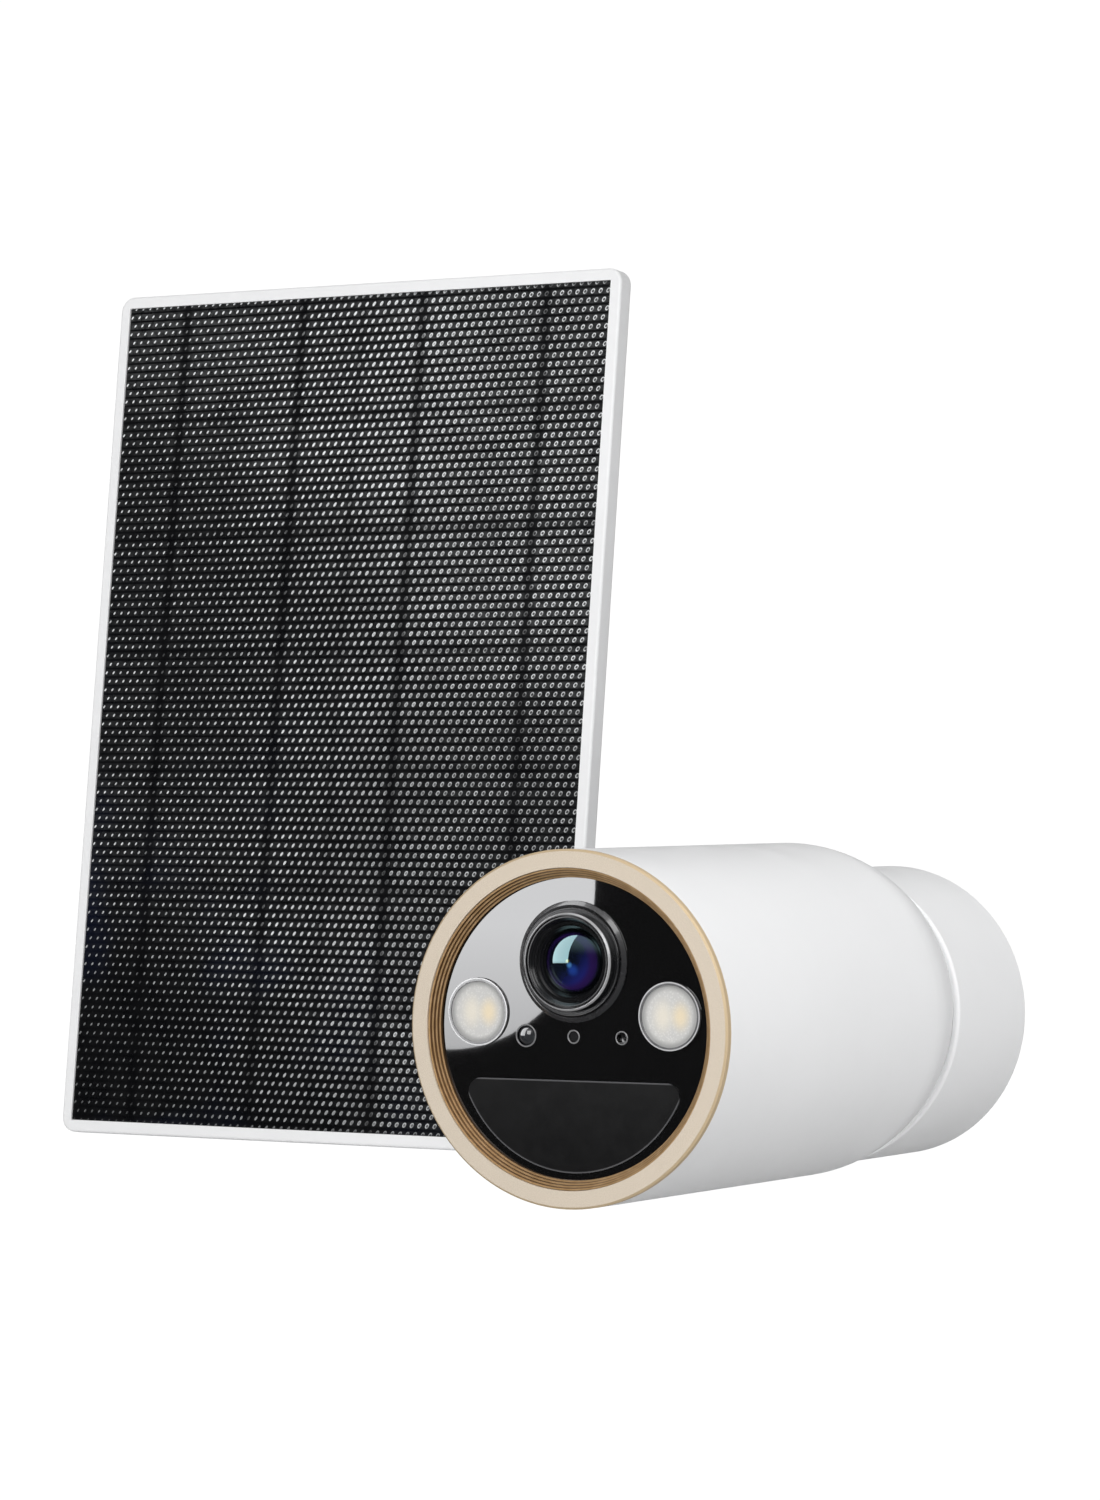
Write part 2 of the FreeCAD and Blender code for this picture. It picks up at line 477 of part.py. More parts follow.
def make_panel():
    face = -FACE_TO_TILT
    half_w = PANEL_W / 2
    half_h = PANEL_H / 2
    open_w = half_w - PANEL_BEZEL
    open_h = half_h - PANEL_BEZEL
    sheet_y = face + SHEET_RECESS
    cell_y = sheet_y + 1.0
    board_y = cell_y + 0.5
    cover_y = board_y + 1.2
    back_y = face + PANEL_EDGE

    rim = panel_block(half_w, half_h, face, back_y, PANEL_CORNER_R)
    rim = rim.makeFillet(0.6, [e for e in rim.Edges if e.BoundBox.YMax < face + 0.05])
    rim = rim.makeFillet(1.2, [e for e in rim.Edges if e.BoundBox.YMin > back_y - 0.05])
    rim = rim.cut(panel_block(open_w, open_h, face - 1, cover_y))
    frame = rim.cut(panel_block(open_w - 2.0, open_h - 2.0, face - 1, back_y + 1))
    sheet = panel_block(open_w - 0.1, open_h - 0.1, sheet_y, cell_y)
    board = panel_block(open_w - 0.1, open_h - 0.1, board_y, cover_y)
    back = panel_block(open_w - 2.1, open_h - 2.1, cover_y, back_y + 0.6)
    back = back.makeFillet(0.5, [e for e in back.Edges if e.BoundBox.YMin > back_y + 0.5])

    margin = 1.6
    gap = 1.0
    cell_w = (2 * open_w - 2 * margin - (CELL_COLUMNS - 1) * gap) / CELL_COLUMNS
    cell_h = (2 * open_h - 2 * margin - (CELL_ROWS - 1) * gap) / CELL_ROWS
    cells = []
    ribbons = []
    for column in range(CELL_COLUMNS):
        x = -open_w + margin + column * (cell_w + gap)
        for row in range(CELL_ROWS):
            z = -open_h + margin + row * (cell_h + gap)
            cells.append(Part.makeBox(cell_w, 0.3, cell_h, V(x, cell_y + 0.2, z)))
        for share in (0.25, 0.75):
            foot = V(x + share * cell_w - 0.8, cell_y + 0.03, -open_h + 2)
            ribbons.append(Part.makeBox(1.6, 0.15, 2 * open_h - 4, foot))

    box = Part.makeBox(46, 8.5, 26, V(-23, back_y + 0.6, -66))
    box = round_edges(box, 3.0, Y_DIR)
    box = box.makeFillet(1.2, [e for e in box.Edges if e.BoundBox.YMin > back_y + 9.0])
    box = box.cut(Part.makeBox(41, 6.5, 21, V(-20.5, back_y + 0.6, -63.5)))
    outlet_at = V(0, back_y + 5.0, -63)
    box = box.cut(Part.makeCylinder(2.9, 7, V(outlet_at.x, outlet_at.y, -69), Z_DIR))
    outlet = Part.makeCylinder(3.6, 4.0, V(outlet_at.x, outlet_at.y, -70.0), Z_DIR)
    outlet = outlet.fuse(Part.makeCylinder(2.85, 3.2, V(outlet_at.x, outlet_at.y, -66.0), Z_DIR))
    outlet = outlet.cut(Part.makeCylinder(1.7, 10, V(outlet_at.x, outlet_at.y, -71), Z_DIR))

    foot_y = back_y + 0.6
    foot = Part.makeBox(46, 3.0, 50, V(-23, foot_y, -25))
    foot = round_edges(foot, 5.0, Y_DIR)
    lugs = []
    for side in (-1, 1):
        x0 = 4.1 if side > 0 else -8.1
        eye = Part.makeCylinder(6.4, 4.0, V(x0, 0, 0), X_DIR)
        web = Part.makeBox(4.0, -foot_y - 0.5, 12.8, V(x0, foot_y + 0.5, -6.4))
        lugs.append(eye.fuse(web))
    cradle = fused([foot] + lugs)
    cradle = cradle.cut(Part.makeCylinder(PIN_R, 40, V(-20, 0, 0), X_DIR))
    screws = []
    for x in (-17, 17):
        for z in (-19, 19):
            hole = Part.makeCylinder(1.6, 10, V(x, foot_y - 1.5, z), Y_DIR)
            cradle = cradle.cut(hole)
            back = back.cut(hole)
            head = Part.makeCylinder(2.8, 1.6, V(x, foot_y + 3.0, z), Y_DIR)
            shank = Part.makeCylinder(1.5, 4.4, V(x, foot_y - 1.4, z), Y_DIR)
            slot = Part.makeBox(4.4, 0.7, 0.7, V(x - 2.2, foot_y + 4.0, z - 0.35))
            screws.append(head.fuse(shank).cut(slot))

    bolt = Part.makeCylinder(PIN_R - 0.02, 27.6, V(-9.6, 0, 0), X_DIR)
    bolt_head = Part.makeCylinder(4.4, 2.6, V(-10.8, 0, 0), X_DIR)
    knob = Part.makeCylinder(7.5, 8.0, V(8.5, 0, 0), X_DIR)
    knob = knob.makeFillet(1.0, [e for e in knob.Edges if e.Length > 40 and e.BoundBox.XMin > 16])
    for index in range(8):
        turn = math.radians(45 * index)
        scoop = Part.makeCylinder(1.9, 9, V(8, 8.3 * math.cos(turn), 8.3 * math.sin(turn)), X_DIR)
        knob = knob.cut(scoop)
    knob = knob.cut(Part.makeCylinder(PIN_R + PIN_CLEARANCE, 12, V(7, 0, 0), X_DIR))

    pieces = {
        "panel_frame": frame,
        "cover_sheet": sheet,
        "solar_cells": Part.makeCompound(cells),
        "cell_ribbons": Part.makeCompound(ribbons),
        "panel_board": board,
        "panel_back": back,
        "junction_box": box,
        "cable_outlet": outlet,
        "panel_cradle": cradle,
        "cradle_screws": Part.makeCompound(screws),
        "tilt_bolt": fused([bolt, bolt_head]),
        "tilt_knob": knob,
    }
    for name, shape in pieces.items():
        parts[name] = hang_panel(shape)


def make_bracket():
    """The wall bracket: an upright pin for the swivel, then a knuckle that carries the tilt bolt."""
    plate = Part.makeCylinder(BRACKET_R, BRACKET_PLATE, V(0, -BRACKET_PLATE, 0), Y_DIR)
    plate = plate.makeFillet(1.5, [e for e in plate.Edges if e.BoundBox.YMax < -4.9])
    ears = []
    for low in (EAR_GAP, -EAR_GAP - EAR_THICK):
        eye = Part.makeCylinder(KNUCKLE_R, EAR_THICK, V(0, SWIVEL_Y, low), Z_DIR)
        web = Part.makeBox(2 * KNUCKLE_R, -SWIVEL_Y - 4.5, EAR_THICK, V(-KNUCKLE_R, SWIVEL_Y, low))
        ears.append(eye.fuse(web))
    body = fused([plate] + ears)
    body = body.cut(Part.makeCylinder(PIN_R, 60, V(0, SWIVEL_Y, -30), Z_DIR))
    for index in range(4):
        turn = math.radians(45 + 90 * index)
        x = BRACKET_BOLT_PCD / 2 * math.cos(turn)
        z = BRACKET_BOLT_PCD / 2 * math.sin(turn)
        body = body.cut(Part.makeCylinder(WALL_HOLE_R, 10, V(x, -8, z), Y_DIR))

    pin = Part.makeCylinder(PIN_R, 28, V(0, SWIVEL_Y, -14), Z_DIR)
    cap = Part.makeCylinder(4.0, 1.8, V(0, SWIVEL_Y, EAR_GAP + EAR_THICK), Z_DIR)
    pin = fused([pin, cap])

    half = EAR_GAP - 0.1
    hub = Part.makeCylinder(KNUCKLE_R, 2 * half, V(0, 0, -half), Z_DIR)
    eye = Part.makeCylinder(KNUCKLE_R, 8.0, V(-4, TILT_Y - SWIVEL_Y, 0), X_DIR)
    web = Part.makeBox(8, SWIVEL_Y - TILT_Y, 2 * KNUCKLE_R, V(-4, TILT_Y - SWIVEL_Y, -KNUCKLE_R))
    knuckle = fused([hub, eye, web])
    knuckle = knuckle.cut(Part.makeCylinder(PIN_R + PIN_CLEARANCE, 40, V(0, 0, -20), Z_DIR))
    knuckle = knuckle.cut(Part.makeCylinder(PIN_R + PIN_CLEARANCE, 20, V(-10, TILT_Y - SWIVEL_Y, 0), X_DIR))
    knuckle.rotate(V(0, 0, 0), Z_DIR, PANEL_YAW_DEG)
    knuckle.translate(V(0, SWIVEL_Y, 0))

    for name, shape in (("bracket_base", body), ("swivel_pin", pin), ("bracket_knuckle", knuckle)):
        shape.translate(V(BRACKET_X, 0, BRACKET_Z))
        parts[name] = shape


make_barrel()
make_face()
make_chassis()
make_lens()
make_lights_and_sensors()
make_inside()
make_port_bay()
make_base()
make_panel()
make_bracket()

os.makedirs("parts", exist_ok=True)
for name, shape in parts.items():
    if not shape.isValid():
        print("not valid:", name)
    shape.exportStep("parts/" + name + ".step")
print(len(parts), "parts written")
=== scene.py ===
"""Looks for the solar-powered security camera: a white bullet camera on its wall puck, and the
solar panel on its bracket, over a plain pale floor. Metres, in the CAD frame, unless a name
below is said to be in millimetres."""
import json
import math

import bmesh
import bpy
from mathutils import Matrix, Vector


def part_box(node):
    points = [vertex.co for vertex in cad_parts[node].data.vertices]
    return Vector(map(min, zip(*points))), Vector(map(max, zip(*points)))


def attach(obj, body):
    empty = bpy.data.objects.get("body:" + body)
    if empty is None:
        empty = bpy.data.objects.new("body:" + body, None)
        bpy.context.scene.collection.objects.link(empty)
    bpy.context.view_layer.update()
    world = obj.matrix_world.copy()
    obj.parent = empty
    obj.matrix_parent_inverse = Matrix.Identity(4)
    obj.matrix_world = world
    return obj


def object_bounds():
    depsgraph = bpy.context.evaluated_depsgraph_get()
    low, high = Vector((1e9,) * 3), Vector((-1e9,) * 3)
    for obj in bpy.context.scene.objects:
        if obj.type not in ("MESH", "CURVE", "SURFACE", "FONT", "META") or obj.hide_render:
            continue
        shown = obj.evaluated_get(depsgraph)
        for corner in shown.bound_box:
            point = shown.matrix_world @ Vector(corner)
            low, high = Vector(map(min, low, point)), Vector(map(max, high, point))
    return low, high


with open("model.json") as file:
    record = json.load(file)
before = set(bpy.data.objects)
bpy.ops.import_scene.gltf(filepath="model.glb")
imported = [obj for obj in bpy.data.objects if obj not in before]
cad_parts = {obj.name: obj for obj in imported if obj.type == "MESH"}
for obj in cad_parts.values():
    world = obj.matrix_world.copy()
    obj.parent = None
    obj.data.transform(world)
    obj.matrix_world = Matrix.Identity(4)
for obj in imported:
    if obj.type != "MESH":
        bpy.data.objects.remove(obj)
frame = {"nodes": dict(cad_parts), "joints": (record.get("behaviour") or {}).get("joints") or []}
cad_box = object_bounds()
nodes = frame["nodes"]
joints = {j["name"]: j for j in frame["joints"]}

MM = 0.001


def middle(node):
    low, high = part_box(node)
    return (low + high) / 2


FACE = middle("front_ring")
WINDOW_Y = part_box("front_window")[0].y
LENS = middle("lens_hood")
PANEL_PIVOT = Vector(joints["panel_tilt"]["pos_m"])
PANEL_X = -Vector(joints["panel_tilt"]["axis"])
PANEL_LEAN_DEG = 6.7
PANEL_TURN = (math.radians(-PANEL_LEAN_DEG), 0.0, math.atan2(PANEL_X.y, PANEL_X.x))

# Camera face, in millimetres from its centre
RING_CUT_EDGE_R = 32.5
STEPS_R_OUT = 29.55
STEP_WIDTH = 0.45
HOOD_EDGE_R = 8.85
SPOT_X = 20.0
SPOT_RISE = 2.7
SPOT_RIM_R = 6.16
SENSOR_ARC_R = 24.5
SENSOR_ARC_DROP = 2.0
SENSOR_TOP = -9.5
HOLE_PITCH = 10.0

# Panel sheet, in millimetres from its centre
SHEET_HALF_WIDTH = 61.6
SHEET_HALF_HEIGHT = 87.5
SHEET_BARS = 4
SHEET_ROWS = 7
DOT_PITCH = 1.88
DOT_ROW_PITCH = 1.84
DOT_LEAN_DEG = 52

# Viewer
VIEW_FROM = (0.4656, -0.9862, 0.0500)
VIEW_ALONG = Vector((-0.4848, 0.8746, 0.0032))
VIEW_LENS = 126.7
SENSOR_WIDTH = 36.0

# Mirrored card: the arc of its edge is in millimetres on the window, from the face's centre
CARD_ARC_X = -27.0
CARD_ARC_Z = 27.0
CARD_ARC_R = 31.5
CARD_ARC_START_DEG = -95
CARD_ARC_SWEEP_DEG = 112
CARD_REACH = 0.5
CARD_SPREAD = 2.0
CARD_COLUMNS = 48
CARD_ROWS = 24
CARD_FADE_HALF = 0.03
CARD_LOW_GLOW = 2.9
CARD_HIGH_GLOW = 5.6
CARD_MIRRORS = (
    "front_window", "lens_hood", "lens_front_element", "lens_bezel", "spotlight_bezels", "light_sensor",
)

# Floor and surroundings
FLOOR_DROP = 0.05
FLOOR_HALF = 6.0
FLOOR_GLOW = 1.08
FLOOR_GLOW_SHARE = 0.96
WORLD_SEEN = 1.05
WORLD_GIVEN = 0.37
WORLD_MIRROR_RAMP = (0.22, 0.8, 0.035, 0.75)


# ---------------------------------------------------------------- material kit
class Finish:
    """A node material built on one Principled shader, measured in millimetres of the CAD frame."""

    def __init__(self, name, color, rough, metal=0.0, specular=0.5, coat=0.0, coat_rough=0.05):
        self.mat = bpy.data.materials.new(name)
        self.mat.use_nodes = True
        self.tree = self.mat.node_tree
        self.bsdf = self.tree.nodes["Principled BSDF"]
        self.put("Base Color", (*color, 1.0))
        self.put("Roughness", rough)
        self.put("Metallic", metal)
        self.put("Specular IOR Level", specular)
        self.put("Coat Weight", coat)
        self.put("Coat Roughness", coat_rough)
        self.base = color
        self.points = None

    def put(self, socket, value):
        self.bsdf.inputs[socket].default_value = value

    def wire(self, socket, source):
        self.tree.links.new(source, self.bsdf.inputs[socket])

    def node(self, kind, **settings):
        made = self.tree.nodes.new(kind)
        for key, value in settings.items():
            setattr(made, key, value)
        return made

    def feed(self, made, index, value):
        if value is None:
            return
        if isinstance(value, bpy.types.NodeSocket):
            self.tree.links.new(value, made.inputs[index])
        else:
            made.inputs[index].default_value = value

    def op(self, operation, a, b=None):
        made = self.node("ShaderNodeMath", operation=operation)
        self.feed(made, 0, a)
        self.feed(made, 1, b)
        return made.outputs[0]

    def add(self, a, b):
        return self.op("ADD", a, b)

    def less(self, a, b):
        return self.op("SUBTRACT", a, b)

    def times(self, a, b):
        return self.op("MULTIPLY", a, b)

    def over(self, a, b):
        return self.op("DIVIDE", a, b)

    def apart(self, a, b):
        """How far a is from b, without sign."""
        return self.op("ABSOLUTE", self.less(a, b))

    def length(self, a, b):
        return self.op("SQRT", self.add(self.times(a, a), self.times(b, b)))

    def vec(self, operation, a, b):
        made = self.node("ShaderNodeVectorMath", operation=operation)
        self.feed(made, 0, a)
        self.feed(made, 1, b)
        return made.outputs[0]

    def in_mm(self, source):
        return self.vec("MULTIPLY", source, (1 / MM, 1 / MM, 1 / MM))

    def mm(self):
        """The point on the resting object, in millimetres."""
        if self.points is None:
            self.points = self.in_mm(self.node("ShaderNodeTexCoord").outputs["Object"])
        return self.points

    def on_panel(self):
        """The point in the panel's own upright frame, in millimetres from its tilt pin."""
        source = self.node("ShaderNodeTexCoord").outputs["Object"]
        made = self.node("ShaderNodeMapping", vector_type="TEXTURE")
        self.feed(made, 0, source)
        made.inputs["Location"].default_value = PANEL_PIVOT
        made.inputs["Rotation"].default_value = PANEL_TURN
        return self.in_mm(made.outputs[0])

    def split(self, vector):
        made = self.node("ShaderNodeSeparateXYZ")
        self.feed(made, 0, vector)
        return made.outputs[0], made.outputs[1], made.outputs[2]

    def join(self, x, y, z):
        made = self.node("ShaderNodeCombineXYZ")
        for index, value in enumerate((x, y, z)):
            self.feed(made, index, value)
        return made.outputs[0]

    def noise(self, scale, detail=2.0, rough=0.5, vector=None, stretch=None):
        """Cloudy noise; scale is features per millimetre."""
        source = self.mm() if vector is None else vector
        if stretch is not None:
            source = self.vec("MULTIPLY", source, stretch)
        made = self.node("ShaderNodeTexNoise")
        self.feed(made, "Vector", source)
        self.feed(made, "Scale", scale)
        self.feed(made, "Detail", detail)
        self.feed(made, "Roughness", rough)
        return made.outputs["Fac"]

    def cells(self, scale):
        made = self.node("ShaderNodeTexVoronoi")
        self.feed(made, "Vector", self.mm())
        self.feed(made, "Scale", scale)
        return made.outputs["Distance"]

    def chance(self, vector):
        made = self.node("ShaderNodeTexWhiteNoise", noise_dimensions="2D")
        self.feed(made, "Vector", vector)
        return made.outputs["Value"]

    def span(self, value, low, high, out_low=0.0, out_high=1.0, smooth=True):
        """Maps low..high onto out_low..out_high, and holds the ends beyond it."""
        made = self.node("ShaderNodeMapRange", interpolation_type="SMOOTHSTEP" if smooth else "LINEAR")
        for index, item in enumerate((value, low, high, out_low, out_high)):
            self.feed(made, index, item)
        return made.outputs[0]

    def drift(self, noise, out_low=0.0, out_high=1.0):
        """The middle of a noise's range, stretched to fill out_low..out_high."""
        return self.span(noise, 0.3, 0.7, out_low, out_high)

    def line(self, away, core, edge):
        """1 where away is under core, falling to 0 at edge."""
        return self.span(away, core, edge, 1.0, 0.0)

    def mix(self, factor, a, b):
        made = self.node("ShaderNodeMix", data_type="RGBA")
        self.feed(made, 0, factor)
        self.feed(made, 6, a if isinstance(a, bpy.types.NodeSocket) else (*a, 1.0))
        self.feed(made, 7, b if isinstance(b, bpy.types.NodeSocket) else (*b, 1.0))
        return made.outputs[2]

    def radius(self, centre):
        """Distance from an axis along Y through centre, in millimetres, with the two offsets."""
        x, _, z = self.split(self.mm())
        dx = self.less(x, centre.x / MM)
        dz = self.less(z, centre.z / MM)
        return self.length(dx, dz), dx, dz

    def mottle(self, amount, scale, tint=None):
        """Slow colour drift across the surface, towards tint or a slightly darker self."""
        other = tint if tint is not None else tuple(c * (1 - amount) for c in self.base)
        self.wire("Base Color", self.mix(self.drift(self.noise(scale, 3.0, 0.6)), self.base, other))
        return self

    def uneven(self, low, high, scale):
        """Roughness that drifts between two values."""
        self.wire("Roughness", self.drift(self.noise(scale, 4.0, 0.65), low, high))
        return self

    def bump(self, height, depth_mm, strength):
        made = self.node("ShaderNodeBump")
        made.inputs["Strength"].default_value = strength
        made.inputs["Distance"].default_value = depth_mm * MM
        self.feed(made, "Height", height)
        earlier = self.bsdf.inputs["Normal"]
        if earlier.is_linked:
            self.tree.links.new(earlier.links[0].from_socket, made.inputs["Normal"])
        self.tree.links.new(made.outputs[0], earlier)
        return self

    def grain(self, scale, depth_mm, strength):
        return self.bump(self.noise(scale, 2.0, 0.6), depth_mm, strength)


def wear(finish, *names):
    """Gives CAD nodes or new pieces this finish."""
    for name in names:
        item = nodes[name] if isinstance(name, str) else name
        if not item.material_slots:
            item.data.materials.append(finish.mat)
        for holder in item.material_slots:
            holder.material = finish.mat


# ---------------------------------------------------------------- finishes
def white_shell():
    white = (0.845, 0.848, 0.855)
    made = Finish("white_satin_shell", white, 0.36, specular=0.45, coat=0.12, coat_rough=0.28)
    made.mottle(0.018, 0.03)
    made.uneven(0.33, 0.41, 0.12)
    return made.grain(3.2, 0.006, 0.5)


def white_frame():
    made = Finish("white_frame_plastic", (0.925, 0.928, 0.935), 0.42, specular=0.4)
    made.mottle(0.02, 0.04)
    made.uneven(0.38, 0.47, 0.15)
    return made.grain(2.6, 0.008, 0.5)


def champagne():
    """Blasted and anodised face, with its outer cut edge painted a little darker as shade."""
    made = Finish("champagne_anodised", (0.76, 0.66, 0.53), 0.46, metal=0.12, specular=0.5)
    r, _, _ = made.radius(FACE)
    fleck = made.drift(made.noise(5.0, 3.0, 0.7))
    face = made.mix(fleck, (0.755, 0.66, 0.545), (0.64, 0.55, 0.435))
    # painted shade: the outer cut edge beyond RING_CUT_EDGE_R is darkened
    edge = made.span(r, RING_CUT_EDGE_R, RING_CUT_EDGE_R + 0.2)
    made.wire("Base Color", made.mix(edge, face, (0.56, 0.43, 0.27)))
    made.uneven(0.40, 0.54, 2.2)
    return made.bump(made.noise(6.0, 3.0, 0.7), 0.012, 0.7)


def bronze():
    """Turned steps: fine tool lines run round them, and each riser is painted dark as shade."""
    made = Finish("turned_bronze_steps", (0.45, 0.29, 0.15), 0.34, metal=0.45)
    r, _, _ = made.radius(FACE)
    tool_lines = made.op("SINE", made.times(r, 46.0))
    place = made.op("FRACT", made.over(made.less(STEPS_R_OUT, r), STEP_WIDTH))
    # painted shade on each riser between the steps
    shadow = made.span(made.apart(place, 0.5), 0.30, 0.47)
    shade = made.add(made.times(tool_lines, 0.15), made.noise(0.5, 2.0, 0.5))
    tread = made.mix(made.span(shade, 0.3, 0.75), (0.66, 0.44, 0.235), (0.51, 0.315, 0.145))
    made.wire("Base Color", made.mix(shadow, tread, (0.13, 0.07, 0.03)))
    made.uneven(0.28, 0.42, 0.8)
    return made.bump(tool_lines, 0.006, 0.5)


def gloss_black():
    black = (0.0045, 0.0045, 0.005)
    made = Finish("polished_black_window", black, 0.015, specular=0.9, coat=1.0, coat_rough=0.0)
    made.mottle(0.3, 0.04)
    return made.uneven(0.008, 0.022, 0.06)


def sensor_film():
    """The heat sensor's window: satin, painted a little lighter towards the top as light, with a painted
    highlight along its edge all round.
    """
    made = Finish("satin_black_sensor_window", (0.020, 0.020, 0.021), 0.42, specular=0.36)
    _, _, dz = made.radius(FACE)
    # painted light: the window's face is a little lighter towards the top
    face = made.mix(made.span(dz, -26.0, -8.0), (0.006, 0.006, 0.0065), (0.011, 0.011, 0.0115))
    arc, _, _ = made.radius(FACE - Vector((0, 0, SENSOR_ARC_DROP * MM)))
    inside = made.op("MINIMUM", made.less(SENSOR_ARC_R, arc), made.less(SENSOR_TOP, dz))
    # painted highlight: a pale line along the window's edge all round
    made.wire("Base Color", made.mix(made.line(inside, 0.12, 0.34), face, (0.10, 0.10, 0.105)))
    made.uneven(0.38, 0.5, 0.3)
    return made.grain(4.5, 0.01, 0.5)


def lens_metal():
    """Black anodised lens hood: fine threads, and one bright cut edge."""
    black = (0.020, 0.020, 0.022)
    made = Finish("black_anodised_lens", black, 0.3, metal=0.25, specular=0.6, coat=0.25, coat_rough=0.2)
    r, _, _ = made.radius(LENS)
    rings = made.op("SINE", made.times(r, 21.0))
    threads = made.mix(made.span(rings, -0.4, 0.9), (0.005, 0.005, 0.006), (0.016, 0.0165, 0.018))
    edge = made.line(made.apart(r, HOOD_EDGE_R), 0.10, 0.22)
    made.wire("Base Color", made.mix(edge, threads, (0.42, 0.42, 0.43)))
    made.uneven(0.20, 0.28, 0.5)
    return made.bump(rings, 0.012, 0.5)


def coated_glass():
    """Front element: painted blue and violet coating reflections deepening to a dark rim, the blue
    strongest towards the lower right, and small painted glints in the middle.
    """
    navy = (0.01, 0.012, 0.06)
    made = Finish("coated_lens_glass", navy, 0.02, specular=1.0, coat=0.45, coat_rough=0.0)
    r, dx, dz = made.radius(LENS)
    # painted reflection: the coatings' blue, lighter outward from the middle and strongest towards the
    # lower right, with a violet ring beyond it
    glow = made.mix(made.span(r, 0.6, 3.6), (0.004, 0.008, 0.035), (0.020, 0.022, 0.24))
    deep = made.mix(made.span(made.less(dx, dz), -1.0, 6.5), (0.004, 0.006, 0.018), glow)
    violet = made.span(made.add(r, made.times(dx, 0.12)), 3.7, 4.9)
    deep = made.mix(violet, deep, (0.035, 0.010, 0.12))
    deep = made.mix(made.span(r, 4.9, 5.6), deep, (0.004, 0.004, 0.006))
    # painted glints: three small coloured bright points in the middle of the glass
    spark_glints = (
        (0.9, -1.5, 1.5, (0.02, 0.07, 0.42)),
        (0.25, -0.55, 0.75, (0.10, 0.32, 0.75)),
        (-0.15, 0.15, 0.5, (0.75, 0.72, 0.25)),
    )
    for x, z, size, color in spark_glints:
        away = made.length(made.less(dx, x), made.less(dz, z))
        deep = made.mix(made.line(away, 0.15 * size, size), deep, color)
    made.wire("Base Color", deep)
    made.put("Specular Tint", (0.55, 0.95, 1.0, 1.0))
    return made.uneven(0.012, 0.03, 0.3)


def inner_glass():
    made = Finish("inner_lens_glass", (0.02, 0.02, 0.12), 0.06, specular=0.8, coat=1.0)
    made.mottle(0.3, 0.4, (0.05, 0.02, 0.14))
    return made.uneven(0.04, 0.09, 0.5)


def milky():
    """Frosted spotlight window: the two warm emitters glow faintly through it."""
    frost = (0.74, 0.73, 0.70)
    made = Finish("frosted_spotlight_window", frost, 0.38, coat=0.6, coat_rough=0.12)
    x, _, z = made.split(made.mm())
    dx = made.less(x, made.times(made.op("SIGN", x), SPOT_X))
    dz = made.less(z, middle("spotlight_diffusers").z / MM)
    r = made.length(dx, dz)
    prisms = made.cells(2.4)
    body = made.mix(made.span(prisms, 0.1, 0.6), (0.70, 0.695, 0.675), (0.60, 0.595, 0.58))
    emitters = (
        (-1.4, 4.2, (0.84, 0.78, 0.66), 0.75),
        (2.2, 3.6, (0.88, 0.74, 0.50), 0.8),
    )
    for at, reach, color, most in emitters:
        away = made.length(made.over(made.less(dx, at), reach * 0.72), made.over(dz, reach))
        body = made.mix(made.span(away, 0.1, 1.0, most, 0.0), body, color)
    made.wire("Base Color", made.mix(made.span(r, 4.3, 5.5), body, (0.38, 0.38, 0.375)))
    made.uneven(0.3, 0.42, 1.5)
    return made.bump(prisms, 0.03, 0.35)


def clear_rim():
    """Spotlight rims: clear plastic over black, with a painted highlight along the outer edge."""
    made = Finish("clear_rim_plastic", (0.17, 0.17, 0.175), 0.14, specular=0.8, coat=0.9)
    _, dx, dz = made.radius(FACE)
    away = made.length(made.less(made.op("ABSOLUTE", dx), SPOT_X), made.less(dz, SPOT_RISE))
    # painted highlight: a bright line along each rim's outer edge
    edge = made.line(made.apart(away, SPOT_RIM_R), 0.06, 0.16)
    clear = made.mix(made.drift(made.noise(0.3, 2.0)), (0.09, 0.09, 0.093), (0.13, 0.13, 0.134))
    made.wire("Base Color", made.mix(edge, clear, (0.55, 0.55, 0.56)))
    return made.uneven(0.12, 0.24, 0.6)


def plain(name, color, rough, metal=0.0, drift=0.08, grain=2.0, depth=0.01, **more):
    made = Finish(name, color, rough, metal, **more)
    made.mottle(drift, 0.12)
    made.uneven(rough * 0.85, min(1.0, rough * 1.2), 0.35)
    return made.grain(grain, depth, 0.6)


def brushed(name, color, rough, along):
    """Metal drawn one way: the noise is stretched along that axis."""
    made = Finish(name, color, rough, metal=1.0)
    stretch = tuple(0.06 if i == along else 1.0 for i in range(3))
    strokes = made.noise(6.0, 3.0, 0.7, stretch=stretch)
    made.wire("Roughness", made.drift(strokes, rough * 0.8, rough * 1.3))
    made.wire("Base Color", made.mix(made.drift(strokes), color, tuple(c * 0.85 for c in color)))
    return made.bump(strokes, 0.004, 0.5)


